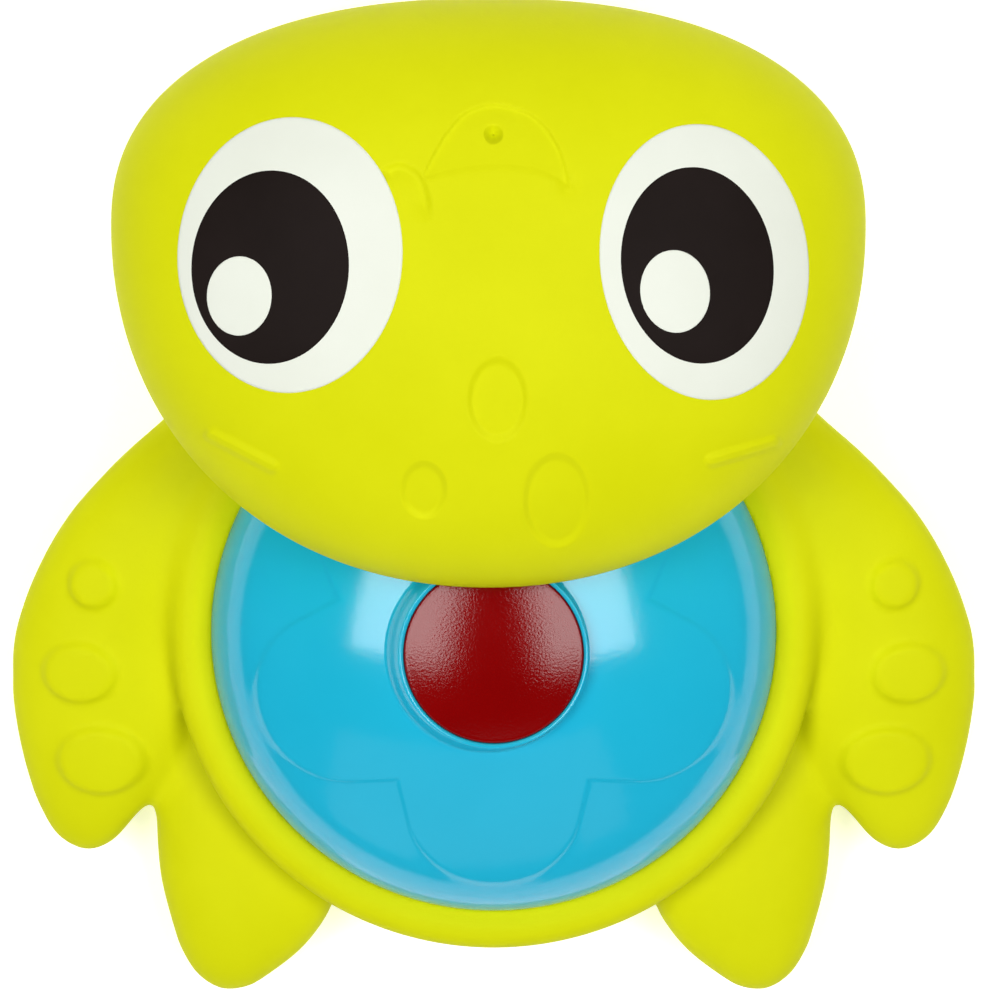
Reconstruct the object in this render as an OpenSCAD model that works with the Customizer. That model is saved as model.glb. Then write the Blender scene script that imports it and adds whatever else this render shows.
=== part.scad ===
// Squeaky bath turtle: a soft vinyl tub and head, a hard dome with a press button, and a bellows squeaker.
// Millimetres. Z is up, the belly lies on z = 0, the snout points to -Y and the axis of the dome is Z.

/* [Shell dome] */
// Radius of the dome where it meets the rim bead
dome_r = 34; // [31:0.5:38]
// Rise of the dome above the rim plane
dome_h = 19; // [17:0.5:22]
// Radius of the arc that turns the dome down to the rim
dome_shoulder_r = 13; // [11:0.5:14]
// Wall of the dome
dome_wall = 1.8; // [1.4:0.1:2.4]
// Height of the petal relief above the dome
flower_rise = 0.35; // [0.2:0.05:0.7]
// Number of petals
petal_count = 5; // [4:1:6]
// Radius of one petal
petal_r = 10.4; // [8:0.2:11.5]
// Distance of a petal's centre from the axis
petal_reach = 18.4; // [16:0.2:19.5]
// Radius of the round field that joins the petals
flower_core_r = 21; // [18:0.5:22]
// Radius of the collar round the button, at its foot
collar_foot_r = 12.3; // [11.9:0.1:13.5]
// Height of the collar above the crown of the dome
collar_rise = 0.9; // [0.5:0.1:1.6]
// Thickness of the flange held in the vinyl groove
flange_t = 1.5; // [1.1:0.1:1.8]
// How far the flange stands out from the dome
flange_out = 2.1; // [1.5:0.1:2.5]

/* [Body] */
// Height of the rim plane above the table
rim_z = 17.5; // [16:0.5:20]
// Radius of the round bead on the rim
bead_r = 2.35; // [2:0.05:3]
// Radius of the flat belly
belly_r = 25; // [18:0.5:28]
// Wall of the vinyl mouldings
vinyl_wall = 2.2; // [1.8:0.1:2.8]
// How far the chest reaches forward of the neck plug
chest_lap = 8; // [6:0.5:12]
// Height of the chest, where the head sits
chest_h = 13; // [12:0.5:14]
// Vinyl left between the dome's seat and the neck plug
neck_land = 2.5; // [2:0.1:4.5]
// Radius of the neck plug
neck_r = 11; // [8:0.5:12]

/* [Flippers] */
// Length of a front flipper
front_flipper_len = 54; // [46:1:58]
// Width of a front flipper with its root
front_flipper_w = 24; // [20:0.5:26]
// Thickness of a front flipper
front_flipper_t = 10.6; // [8:0.2:12]
// Length of a rear flipper with its root
rear_flipper_len = 34; // [30:0.5:38]
// Width of a rear flipper
rear_flipper_w = 22; // [18:0.5:24]
// Thickness of a rear flipper
rear_flipper_t = 9.6; // [7:0.2:11]
// How far the flippers slope down outwards, in degrees
flipper_droop = 7; // [0:1:12]
// Height of the raised pads on the front flippers
pad_rise = 0.8; // [0.4:0.1:1.4]

/* [Head] */
// Width of the head
head_w = 88.4; // [80:0.2:94]
// Depth of the head in front of its widest line
head_front = 26.5; // [24:0.5:31]
// Depth of the head behind its widest line
head_back = 42.5; // [38:0.5:43]
// Height of the crown above the head's middle plane
head_up = 21; // [18:0.5:26]
// Depth of the head below its middle plane, before the neck cuts it
head_down = 26; // [25:0.5:30]
// Distance of the head's middle in front of the neck's axis
head_fore = 5.9; // [3:0.1:8]
// Height of the head's middle plane above the rim plane
head_lift = 19.5; // [18:0.5:22]
// Tilt of the face towards the snout, in degrees
face_tilt = 7; // [4:0.5:10]
// Depth of the pockets for the eye prints
print_depth = 0.5; // [0.3:0.05:0.7]
// Depth of the smile and the forehead spots
groove_depth = 0.6; // [0.3:0.05:0.9]
// Radius of the smile
smile_r = 8.3; // [6:0.1:10]
// Width of the smile's groove
smile_w = 0.9; // [0.6:0.1:1.6]
// Radius of the air pinhole at the mouth
vent_r = 0.6; // [0.4:0.05:1]

/* [Eyes] */
// Width of an eye white
eye_w = 25.2; // [20:0.2:27]
// Height of an eye white
eye_h = 31.8; // [26:0.2:33]
// Distance of an eye's centre from the middle of the face
eye_out = 23.9; // [21:0.1:26]
// Width of a pupil
pupil_w = 18.1; // [13:0.1:19]
// Height of a pupil
pupil_h = 22.5; // [16:0.1:24]
// Width of a glint
glint_w = 7.8; // [4:0.1:9]
// Height of a glint
glint_h = 9.4; // [5:0.1:10]

/* [Squeak button] */
// Radius of the button
button_r = 10.6; // [9.5:0.1:11]
// Radius of the button's crown curve
button_crown_r = 50; // [35:1:80]
// How far the middle of the button stands above the collar
button_proud = 0.9; // [0.4:0.1:1.5]
// Wall of the button
button_wall = 1.6; // [1.2:0.1:2]
// How far the button goes down
press_travel = 3; // [1.5:0.1:3.5]
// Thickness of the button's retaining flange
catch_t = 1.3; // [1:0.1:1.8]

/* [Squeaker] */
// Thickness of the deck
deck_t = 1.8; // [1.4:0.1:2.2]
// Largest radius of the bellows
bellows_r = 9.4; // [8.4:0.1:9.8]
// Depth of a bellows fold
fold_depth = 1.9; // [1.2:0.1:2.2]
// Number of folds in the bellows
fold_count = 4; // [3:1:6]
// Wall of the bellows
bellows_wall = 0.7; // [0.5:0.05:0.9]
// Radius of the reed tube
tube_r = 4.4; // [4:0.1:5]
// Wall of the reed tube
tube_wall = 1.15; // [0.8:0.05:1.4]
// Length of the reed tube below the deck's top
tube_len = 9.9; // [8.5:0.1:11]
// Thickness of the reed
reed_t = 0.2; // [0.15:0.05:0.3]
// Width of the reed
reed_w = 3.4; // [2.6:0.1:3.8]
// Radius of the deck screws
screw_r = 1.2; // [1:0.1:1.4]
// Length of a deck screw under its head
screw_len = 8; // [6:0.5:9]
// Distance of the deck screws from the axis
screw_reach = 26; // [24:0.5:27]

/* [Fits] */
// Radial running clearance of the button in its bore
button_fit = 0.1; // [0.05:0.01:0.1]
// Gap between the soft mouldings and what they hold
soft_gap = 0.15; // [0.1:0.01:0.25]
// Gap between the head and the dome it overhangs
nest_gap = 0.4; // [0.3:0.05:0.7]
// Radial gap of parts that are pushed together
push_fit = 0.05; // [0.03:0.01:0.08]
// Axial gap of the button at each end of its travel
stop_gap = 0.3; // [0.2:0.05:0.4]

/* [Hidden] */
$fn = 72;
soft_fn = 52;
bead_fn = 14;
cut = 0.01;
grain = 0.005;
far = 120;

// Levels of the shell and its inside
deck_drop = 1;
deck_top = rim_z - deck_drop;
seat_z = deck_top - deck_t;
flange_top = seat_z + flange_t;
dome_top = rim_z + dome_h;
collar_top = dome_top + collar_rise;
collar_draft = 0.9;
button_top = collar_top + button_proud;
button_edge = 0.7;

// Radii of the shell and its inside
bore_r = button_r + button_fit;
skirt_in_r = dome_r - dome_wall;
flange_r = dome_r + flange_out;
deck_r = skirt_in_r - soft_gap;
guide_wall = 1.6;
guide_r = bore_r + guide_wall;
catch_lap = 1.5;
catch_r = button_r + catch_lap;

// Levels of the button, counted down from the dome's inside
crown_r = arch_crown(dome_r, dome_h, dome_shoulder_r);
inner_crown_r = crown_r - dome_wall;
guide_drop = 0.6;
guide_end = dome_top - crown_r + sqrt(pow(inner_crown_r, 2) - pow(guide_r, 2)) - guide_drop;
catch_top = guide_end - stop_gap;
catch_low = catch_top - catch_t;
guard_top = catch_low - press_travel - stop_gap;
guard_wall = 1.4;
guard_r = catch_r + push_fit;
pusher_r = 5;

// Bead and tub
bead_mid_r = dome_r + bead_r;
groove_top = flange_top + soft_gap;
groove_r = flange_r + soft_gap;
ledge_lap = 2.5;
ledge_r = dome_r - ledge_lap;
neck_reach = ledge_r + neck_land + neck_r;
chest_reach = neck_reach + neck_r + chest_lap;
head_reach = neck_reach + head_fore;
bead_shelf = 1.2;
tub_r = bead_mid_r + bead_shelf;
tub_neck = 0.5;
tub_mid_share = 0.75;
tub_mid = tub_mid_share * chest_h;
tub_round = 2.2;
tub_plan_round = 2.1;
tub_up = 8;
tub_down = tub_mid / pow(1 - pow(belly_r / tub_r, tub_round), 1 / tub_round);
tub_points = 40;
tub_levels = 5;
neck_lip = 1.4;
neck_lip_t = 2.4;

// Head
head_z = rim_z + head_lift;
front_round = 2.3;
back_round = 2.1;
crown_round = 2.2;
head_points = 46;
head_levels = 8;
cave_points = 26;
cave_levels = 4;
face_top = 60;
smile_b = -5.5;
vent_b = -10.1;
vent_dimple_r = 1.3;
brow_w = 1.3;
brow_rise = 0.35;
spot_shares = [[-0.005, 0.482, 0.073, 0.105], [0.091, 0.727, 0.054, 0.07], [-0.082, 0.755, 0.081, 0.12]];
brow_shares = [[0.372, 0.578, 0.29, 0.666], [-0.37, 0.601, -0.286, 0.649]];

// Where each pupil and glint sits in its eye, as shares of the eye's width and height
eye_b = 4.2;
eye_lean = 2.5;
left_look_shares = [0.07, 0.04];
right_look_shares = [0.014, 0.024];
left_glint_shares = [0.215, 0.135];
right_glint_shares = [0.12, 0.12];

// Flippers: outlines as shares of their width and length, and where they sit
front_out = 8.45;
front_x = tub_r + front_out;
front_y = 2;
front_z = 11.5;
front_dip = 4;
front_up_share = 0.52;
front_shares = [[0.508, 0.081], [0.508, 0.138], [0.483, 0.222], [0.44, 0.308], [0.383, 0.383], [0.29, 0.452],
    [0.152, 0.483], [0.021, 0.463], [-0.092, 0.409], [-0.205, 0.348], [-0.313, 0.278], [-0.417, 0.148],
    [-0.479, 0], [-0.542, -0.148], [-0.625, -0.296], [-0.7, -0.43], [-0.72, -0.53], [-0.62, -0.595],
    [-0.42, -0.558], [-0.265, -0.497], [-0.08, -0.424], [0.077, -0.352], [0.206, -0.284], [0.317, -0.206],
    [0.41, -0.121], [0.478, -0.035], [0.503, 0.025]];
rear_in = 6.55;
rear_lap = 4.55;
rear_x = tub_r - rear_in;
rear_y = tub_r - rear_lap;
rear_z = 9;
rear_dip = 5;
rear_up_share = 0.52;
rear_shares = [[0.44, -0.138], [0.427, -0.046], [0.4, 0.041], [0.364, 0.132], [0.318, 0.223], [0.23, 0.314],
    [0.105, 0.365], [-0.034, 0.359], [-0.155, 0.315], [-0.333, 0.223], [-0.45, 0.132], [-0.52, 0.046],
    [-0.545, -0.059], [-0.45, -0.26], [-0.25, -0.43], [-0.02, -0.566], [0.2, -0.635], [0.335, -0.581],
    [0.4, -0.474], [0.445, -0.352], [0.445, -0.245]];
flipper_round = 2.3;
flipper_levels = 5;
// Raised pads: place on the flipper, then half sizes, as shares of its width and length
pad_shares = [[0.06, -0.145, 0.12, 0.052], [0.136, 0.057, 0.185, 0.066], [0.036, 0.26, 0.22, 0.076]];

// Squeaker
tube_flange_r = tube_r + tube_wall;
tube_flange_t = 0.9;
tube_bore_r = tube_r - tube_wall;
tube_low = deck_top - tube_len;
block_r = tube_bore_r - push_fit;
block_top = deck_top + tube_flange_t;
wedge_h = 2.6;
reed_z = block_top - wedge_h;
reed_bead_r = 0.4;
reed_slack = 0.05;
reed_play = reed_t / 2 + reed_slack;
reed_tip = 0.8;
reed_low = tube_low + reed_tip;
trough_w = 1.7;
trough_d = 1.3;
trough_end = 1.6;
bellows_top_t = 1;
bellows_foot_t = 1;
bellows_foot_in = tube_flange_r + soft_gap;
fold_low_r = bellows_r - fold_depth;
screw_hole_gap = 0.25;
screw_head_r = 2.3;
screw_head_t = 1.6;
drive_w = 0.5;
drive_len = 2.6;
drive_deep = 0.9;
boss_r = 2.9;
boss_flare = 0.5;
pilot_spare = 1;

// Radius of the crown arc of an arch that ends upright in an arc of the given shoulder
function arch_crown(r, h, s) = (pow(r - s, 2) + pow(h, 2) - pow(s, 2)) / (2 * (h - s));

// Half outline of an arch: a wide crown arc that runs into a shoulder arc, upright at the foot
module arch(r, h, s) {
    crown = arch_crown(r, h, s);
    slant = (r - s) / (crown - h);
    intersection() {
        union() {
            intersection() {
                translate([0, h - crown]) circle(r = crown);
                polygon([[0, h - crown], [slant * crown, h], [0, h + cut]]);
            }
            translate([r - s, 0]) circle(r = s);
        }
        square([r, h]);
    }
}

// The dome's form, grown or shrunk by a wall
module dome_form(grow) {
    translate([0, 0, rim_z])
        rotate_extrude() arch(dome_r + grow, dome_h + grow, dome_shoulder_r + grow);
}

// The petal field seen from above
module flower() {
    circle(r = flower_core_r);
    for (i = [0 : petal_count - 1])
        rotate(90 + i * 360 / petal_count) translate([petal_reach, 0]) circle(r = petal_r);
}

// A length on the fine grid on which the moulded forms are drawn
function fine(v) = round(v / grain) * grain;

// A form like a cushion: an outline that shrinks towards a crown and a keel
module cushion(outline, up, down, bend, levels) {
    n = len(outline);
    turns = [for (k = [1 - levels : levels - 1]) 90 * k / levels];
    rows = len(turns);
    rings = [for (a = turns) let (s = pow(cos(a), 2 / bend), h = pow(sin(abs(a)), 2 / bend))
        for (p = outline) [fine(p[0] * s), fine(p[1] * s), fine(a < 0 ? -down * h : up * h)]];
    keel = rows * n;
    sides = [for (k = [0 : rows - 2]) for (i = [0 : n - 1]) let (j = (i + 1) % n)
        each [[k * n + i, (k + 1) * n + i, (k + 1) * n + j], [k * n + i, (k + 1) * n + j, k * n + j]]];
    low = [for (i = [0 : n - 1]) [i, (i + 1) % n, keel]];
    high = [for (i = [0 : n - 1]) [(rows - 1) * n + (i + 1) % n, (rows - 1) * n + i, keel + 1]];
    polyhedron(points = concat(rings, [[0, 0, -down], [0, 0, up]]), faces = concat(sides, low, high));
}

// Signed power, for outlines between an ellipse and a box
function bent(v, e) = sign(v) * pow(abs(v), e);

// Outline of the head from above, blunt at the snout and round at the nape
function head_outline(inset, n) = [for (i = [0 : n - 1])
    let (a = 360 * i / n, e = sin(a) < 0 ? front_round : back_round)
    [(head_w / 2 - inset) * bent(cos(a), 2 / e),
     ((sin(a) < 0 ? head_front : head_back) - inset) * bent(sin(a), 2 / e)]];

// Puts its children in the head's own tilted frame
module on_head() {
    translate([0, -head_reach, head_z]) rotate([face_tilt, 0, 0]) children();
}

module head_form(inset, n, levels) {
    on_head() cushion(head_outline(inset, n), head_up - inset, head_down - inset, crown_round, levels);
}

// Everything in the press's way down to a depth below the head's skin
module stamped(depth) {
    difference() {
        pressed() children();
        head_form(depth, head_points, head_levels);
    }
}

// Presses a flat shape down onto the face, as a printing pad does
module pressed() {
    on_head() linear_extrude(height = face_top) children();
}

module oval(w, h) {
    scale([1, h / w]) circle(d = w, $fn = 32);
}

module eye_plan(side) {
    translate([side * eye_out, eye_b]) rotate(-side * eye_lean) oval(eye_w, eye_h);
}

module pupil_plan(side) {
    look = side > 0 ? left_look_shares : right_look_shares;
    translate([side * eye_out + look[0] * eye_w, eye_b + look[1] * eye_h])
        rotate(-side * eye_lean) oval(pupil_w, pupil_h);
}

module glint_plan(side) {
    look = side > 0 ? left_glint_shares : right_glint_shares;
    translate([side * eye_out + look[0] * eye_w, eye_b + look[1] * eye_h]) oval(glint_w, glint_h);
}

module spots_plan() {
    for (s = spot_shares)
        translate([s[0] * head_w, s[1] * head_back]) oval(s[2] * head_w, 2 * s[3] * head_back);
}

module smile_plan() {
    translate([0, smile_b]) difference() {
        circle(r = smile_r + smile_w / 2, $fn = 48);
        circle(r = smile_r - smile_w / 2, $fn = 48);
        translate([-far / 2, 0]) square(far);
    }
}

module brows_plan() {
    for (b = brow_shares)
        hull() {
            translate([b[0] * head_w, b[1] * head_back]) circle(d = brow_w, $fn = 16);
            translate([b[2] * head_w, b[3] * head_back]) circle(d = brow_w, $fn = 16);
        }
}

// What the head must leave free: the rim, the dome, the collar and the button at rest
module nest(gap) {
    over = gap + flower_rise;
    rotate_extrude($fn = 44) {
        translate([0, rim_z]) arch(dome_r + over, dome_h + over, dome_shoulder_r + over);
        translate([bead_mid_r, rim_z]) circle(r = bead_r + gap, $fn = bead_fn);
        square([bead_mid_r + bead_r + gap, rim_z]);
        square([collar_foot_r + gap, button_top + gap]);
    }
}

// A moulding of many forms, kept at its own size as one skin
module one_skin() {
    resize([0, 0, 0]) children();
}

// Outline of the tub from above, round behind and drawn out to the chest in front
function tub_outline(inset) = [for (i = [0 : tub_points - 1]) let (a = 360 * i / tub_points)
    [(tub_r - inset) * bent(cos(a), 2 / tub_plan_round),
     ((sin(a) < 0 ? chest_reach : tub_r) - inset) * bent(sin(a), 2 / tub_plan_round)]];

// The tub with its chest, flat at the belly and where the head sits
module tub_form(inset) {
    intersection() {
        translate([0, 0, tub_mid])
            cushion(tub_outline(inset), tub_up - inset, tub_down - inset, tub_round, tub_levels);
        translate([-far / 2, -far, inset]) cube([far, 2 * far, chest_h - 2 * inset]);
    }
}

// Outline points scaled to a flipper's size
function flipper_outline(shares, w, l) = [for (s = shares) [s[0] * w, s[1] * l]];

// Raised pads, one plateau on each oval of the flipper's top
module pads() {
    intersection() {
        front_cushion(pad_rise);
        linear_extrude(height = front_flipper_t)
            for (p = pad_shares) translate([p[0] * front_flipper_w, p[1] * front_flipper_len])
                oval(2 * p[2] * front_flipper_w, 2 * p[3] * front_flipper_len);
    }
}

module flipper_cushion(shares, w, l, up, down) {
    cushion(flipper_outline(shares, w, l), up, down, flipper_round, flipper_levels);
}

// The front flipper's form, with its top raised
module front_cushion(rise) {
    up = front_up_share * front_flipper_t;
    flipper_cushion(front_shares, front_flipper_w, front_flipper_len, up + rise, front_flipper_t - up);
}

module front_flipper() {
    translate([front_x, front_y, front_z]) rotate([-front_dip, flipper_droop, 0]) {
        front_cushion(0);
        pads();
    }
}

module rear_flipper() {
    up = rear_up_share * rear_flipper_t;
    translate([rear_x, rear_y, rear_z]) rotate([-rear_dip, flipper_droop, 0])
        flipper_cushion(rear_shares, rear_flipper_w, rear_flipper_len, up, rear_flipper_t - up);
}

module body() {
    color("yellowgreen") one_skin() difference() {
        union() {
            tub_form(0);
            rim();
            for (side = [0, 1]) mirror([side, 0, 0]) {
                front_flipper();
                rear_flipper();
            }
        }
        tub_form(vinyl_wall);
        rotate_extrude($fn = soft_fn) mouth_plan();
        translate([0, -neck_reach, vinyl_wall * 2]) cylinder(r = neck_r + soft_gap, h = far, $fn = 40);
    }
}

// Wall and bead above the tub
module rim() {
    rotate_extrude($fn = soft_fn) {
        translate([0, tub_mid]) square([tub_r - tub_neck, rim_z - tub_mid]);
        translate([bead_mid_r, rim_z]) circle(r = bead_r, $fn = bead_fn);
    }
}

// Half outline of the tub's opening: a ledge, a groove for the dome's flange, and the lip over it
module mouth_plan() {
    translate([0, vinyl_wall * 2]) square([ledge_r, far]);
    translate([0, seat_z]) square([groove_r, groove_top - seat_z]);
    translate([0, seat_z]) square([dome_r + soft_gap, far]);
}

module head() {
    color("yellowgreen") one_skin() difference() {
        union() {
            difference() {
                union() {
                    head_form(0, head_points, head_levels);
                    intersection() {
                        head_form(-brow_rise, head_points, head_levels);
                        pressed() brows_plan();
                    }
                }
                nest(nest_gap);
                translate([-far / 2, -far, chest_h - far]) cube([far, 2 * far, far]);
            }
            neck_plug();
        }
        difference() {
            head_form(vinyl_wall, cave_points, cave_levels);
            nest(nest_gap + vinyl_wall);
            translate([-far / 2, -far, chest_h + vinyl_wall - far]) cube([far, 2 * far, far]);
        }
        translate([0, -neck_reach, 0])
            cylinder(r = neck_r - vinyl_wall, h = chest_h + 2 * vinyl_wall, $fn = 40);
        stamped(print_depth) for (side = [-1, 1]) eye_plan(side);
        stamped(groove_depth) {
            spots_plan();
            smile_plan();
            translate([0, vent_b]) circle(r = vent_dimple_r, $fn = 20);
        }
        pressed() translate([0, vent_b]) circle(r = vent_r, $fn = 16);
    }
}

// Plug below the head, with a lip that snaps in under the chest
module neck_plug() {
    lip_top = chest_h - vinyl_wall - soft_gap;
    lip_low = lip_top - neck_lip_t;
    root_z = chest_h + vinyl_wall;
    translate([0, -neck_reach, 0]) rotate_extrude($fn = 40)
        polygon([[0, lip_low], [neck_r, lip_low], [neck_r + neck_lip, lip_top], [neck_r, lip_top],
            [neck_r, root_z], [0, root_z]]);
}

module shell_dome() {
    color("deepskyblue") difference() {
        union() {
            difference() {
                union() {
                    dome_form(0);
                    intersection() {
                        dome_form(flower_rise);
                        translate([0, 0, rim_z]) linear_extrude(height = 2 * dome_h) flower();
                    }
                    translate([0, 0, seat_z]) cylinder(r = dome_r, h = rim_z - seat_z);
                    translate([0, 0, seat_z]) cylinder(r = flange_r, h = flange_t);
                    collar();
                }
                dome_form(-dome_wall);
                translate([0, 0, seat_z - cut]) cylinder(r = skirt_in_r, h = rim_z - seat_z + cut);
            }
            intersection() {
                dome_form(-dome_wall / 2);
                union() {
                    bosses();
                    translate([0, 0, guide_end]) cylinder(r = guide_r, h = dome_top - guide_end);
                }
            }
            boss_feet();
        }
        cylinder(r = bore_r, h = far);
        for (i = [0 : 2]) rotate(90 + 120 * i) translate([screw_reach, 0, deck_top - cut])
            cylinder(r = screw_r + push_fit, h = screw_len - deck_t + pilot_spare);
    }
}

// Low wall round the button, a little narrower at its top
module collar() {
    rise = collar_top - dome_top + dome_wall;
    translate([0, 0, dome_top - dome_wall])
        cylinder(r1 = collar_foot_r, r2 = collar_foot_r - collar_draft, h = rise);
}

module bosses() {
    for (i = [0 : 2]) rotate(90 + 120 * i) translate([screw_reach, 0, rim_z])
        cylinder(r = boss_r, h = dome_h);
}

// Wider feet of the bosses, which stand on the deck
module boss_feet() {
    for (i = [0 : 2]) rotate(90 + 120 * i) translate([screw_reach, 0, deck_top])
        cylinder(r = boss_r + boss_flare, h = rim_z - deck_top + boss_flare);
}

module squeak_button() {
    color("darkred") difference() {
        union() {
            intersection() {
                rotate_extrude() button_plan();
                translate([0, 0, button_top - button_crown_r]) sphere(r = button_crown_r);
            }
            translate([0, 0, catch_low]) cylinder(r = catch_r, h = catch_t);
        }
        difference() {
            translate([0, 0, catch_low - cut]) cylinder(r = button_r - button_wall, h = far);
            translate([0, 0, collar_top - button_edge - button_wall]) cylinder(r = far, h = far);
            cylinder(r = pusher_r, h = far);
        }
    }
}

// Half outline of the button, with its top edge rounded
module button_plan() {
    edge_z = collar_top - button_edge;
    translate([0, catch_low]) square([button_r, edge_z - catch_low]);
    square_top = button_top - edge_z;
    translate([0, catch_low]) square([button_r - button_edge, edge_z - catch_low + square_top]);
    translate([button_r - button_edge, edge_z]) circle(r = button_edge);
}

module squeaker_bellows() {
    low = deck_top + bellows_foot_t;
    high = catch_low - bellows_top_t;
    step = (high - low) / (2 * fold_count);
    turns = [for (i = [0 : 2 * fold_count]) [i % 2 == 0 ? fold_low_r : bellows_r, low + i * step]];
    back = [for (i = [2 * fold_count : -1 : 0]) [turns[i][0] - bellows_wall, turns[i][1]]];
    color("whitesmoke") union() {
        rotate_extrude() polygon(concat(turns, back));
        translate([0, 0, high]) cylinder(r = fold_low_r, h = bellows_top_t);
        translate([0, 0, deck_top]) difference() {
            cylinder(r = fold_low_r, h = bellows_foot_t);
            translate([0, 0, -cut]) cylinder(r = bellows_foot_in, h = bellows_foot_t + 2 * cut);
        }
    }
}

module squeaker_deck() {
    color("gainsboro") difference() {
        union() {
            translate([0, 0, seat_z]) cylinder(r = deck_r, h = deck_t);
            cylinder_tube(guard_r, guard_r - guard_wall, seat_z, guard_top);
        }
        cylinder(r = tube_r + push_fit, h = far);
        for (i = [0 : 2]) rotate(90 + 120 * i) translate([screw_reach, 0, 0])
            cylinder(r = screw_r + screw_hole_gap, h = far);
    }
}

module cylinder_tube(outer, inner, low, high) {
    difference() {
        translate([0, 0, low]) cylinder(r = outer, h = high - low);
        translate([0, 0, low - cut]) cylinder(r = inner, h = high - low + 2 * cut);
    }
}

module squeaker_tube() {
    color("ivory") difference() {
        union() {
            translate([0, 0, tube_low]) cylinder(r = tube_r, h = tube_len);
            translate([0, 0, deck_top]) cylinder(r = tube_flange_r, h = tube_flange_t);
        }
        cylinder(r = tube_bore_r, h = far);
    }
}

// Groove in which the reed's rolled end turns
module reed_groove() {
    translate([-far / 2, 0, reed_z]) rotate([0, 90, 0]) cylinder(r = reed_bead_r + reed_slack, h = far);
}

module reed_block() {
    color("khaki") difference() {
        translate([0, 0, tube_low]) cylinder(r = block_r, h = block_top - tube_low);
        translate([-far / 2, reed_play - far, 0]) cube([far, far, far]);
        translate([-trough_w / 2, 0, tube_low + trough_end]) cube([trough_w, reed_play + trough_d, far]);
        reed_groove();
    }
}

module reed_wedge() {
    color("goldenrod") difference() {
        translate([0, 0, reed_z]) cylinder(r = block_r, h = wedge_h);
        translate([-far / 2, -reed_play, 0]) cube([far, far, far]);
        reed_groove();
    }
}

module squeaker_reed() {
    color("silver") union() {
        translate([-reed_w / 2, 0, reed_z]) rotate([0, 90, 0]) cylinder(r = reed_bead_r, h = reed_w);
        translate([-reed_w / 2, -reed_t / 2, reed_low]) cube([reed_w, reed_t, reed_z - reed_low]);
    }
}

module deck_screws() {
    color("lightgray") for (i = [0 : 2])
        rotate(90 + 120 * i) translate([screw_reach, 0, seat_z]) difference() {
            union() {
                cylinder(r = screw_r, h = screw_len);
                translate([0, 0, -screw_head_t])
                    cylinder(r1 = screw_head_r - drive_w, r2 = screw_head_r, h = screw_head_t);
            }
            for (a = [0, 90]) rotate(a)
                translate([-drive_len / 2, -drive_w / 2, -screw_head_t - cut])
                    cube([drive_len, drive_w, drive_deep]);
        }
}

// A print layer in the head's skin
module printed() {
    one_skin() intersection() {
        head_form(0, head_points, head_levels);
        stamped(print_depth) children();
    }
}

module eye_white(side) {
    color("white") printed() difference() {
        eye_plan(side);
        pupil_plan(side);
    }
}

module eye_pupil(side) {
    color("black") printed() difference() {
        pupil_plan(side);
        glint_plan(side);
    }
}

module eye_glint(side) {
    color("white") printed() glint_plan(side);
}

module left_eye_white() eye_white(1);

module left_eye_pupil() eye_pupil(1);

module left_eye_glint() eye_glint(1);

module right_eye_white() eye_white(-1);

module right_eye_pupil() eye_pupil(-1);

module right_eye_glint() eye_glint(-1);

body();
head();
shell_dome();
squeak_button();
squeaker_bellows();
squeaker_deck();
squeaker_tube();
reed_block();
reed_wedge();
squeaker_reed();
deck_screws();
left_eye_white();
left_eye_pupil();
left_eye_glint();
right_eye_white();
right_eye_pupil();
right_eye_glint();
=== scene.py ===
"""Looks of a squeaky bath turtle: soft lime vinyl tub and head, a hard blue dome and a red press button.

Lengths in the shape code are millimetres in the CAD frame; they turn into metres when a mesh is made.
"""
import math

import bmesh
import bpy
import numpy as np
from mathutils import Matrix


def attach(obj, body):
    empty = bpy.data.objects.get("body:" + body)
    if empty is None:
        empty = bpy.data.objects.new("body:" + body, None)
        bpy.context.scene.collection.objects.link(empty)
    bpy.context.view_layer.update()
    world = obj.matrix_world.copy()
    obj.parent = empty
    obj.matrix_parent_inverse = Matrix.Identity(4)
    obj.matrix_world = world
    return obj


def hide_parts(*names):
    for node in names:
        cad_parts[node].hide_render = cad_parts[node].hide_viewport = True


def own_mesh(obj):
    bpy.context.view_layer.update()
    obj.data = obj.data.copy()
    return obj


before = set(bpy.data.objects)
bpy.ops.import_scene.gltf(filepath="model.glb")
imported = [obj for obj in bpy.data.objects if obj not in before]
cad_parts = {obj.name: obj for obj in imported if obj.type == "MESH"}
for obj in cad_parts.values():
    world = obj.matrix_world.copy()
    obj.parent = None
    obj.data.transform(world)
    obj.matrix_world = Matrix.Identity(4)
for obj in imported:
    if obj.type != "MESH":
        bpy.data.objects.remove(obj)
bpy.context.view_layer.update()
MM = 0.001

# Sizes, as in the part's source
DOME_R, DOME_H, SHOULDER_R, DOME_WALL = 34.0, 19.0, 13.0, 1.8
RIM_Z, BEAD_R = 17.5, 2.35
BEAD_MID = DOME_R + BEAD_R
CROWN_R = ((DOME_R - SHOULDER_R) ** 2 + DOME_H ** 2 - SHOULDER_R ** 2) / (2 * (DOME_H - SHOULDER_R))
DOME_TOP = RIM_Z + DOME_H
COLLAR_FOOT_R, COLLAR_RISE = 12.3, 0.9
COLLAR_TOP = DOME_TOP + COLLAR_RISE
BUTTON_R, BUTTON_CROWN, BUTTON_PROUD = 10.6, 50.0, 0.9
BUTTON_TOP = COLLAR_TOP + BUTTON_PROUD
BUTTON_GAP = 0.05
BORE_R = BUTTON_R + BUTTON_GAP
SEAT_Z, DECK_TOP = 14.7, 16.5
FLANGE_R, FLANGE_TOP = 36.1, 16.2
GUIDE_R, GUIDE_END = 12.3, 32.59
CATCH_R, CATCH_TOP, CATCH_LOW = 12.1, 32.29, 30.99
CHEST_H, CHEST_REACH, VINYL = 13.0, 64.0, 2.2
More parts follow.
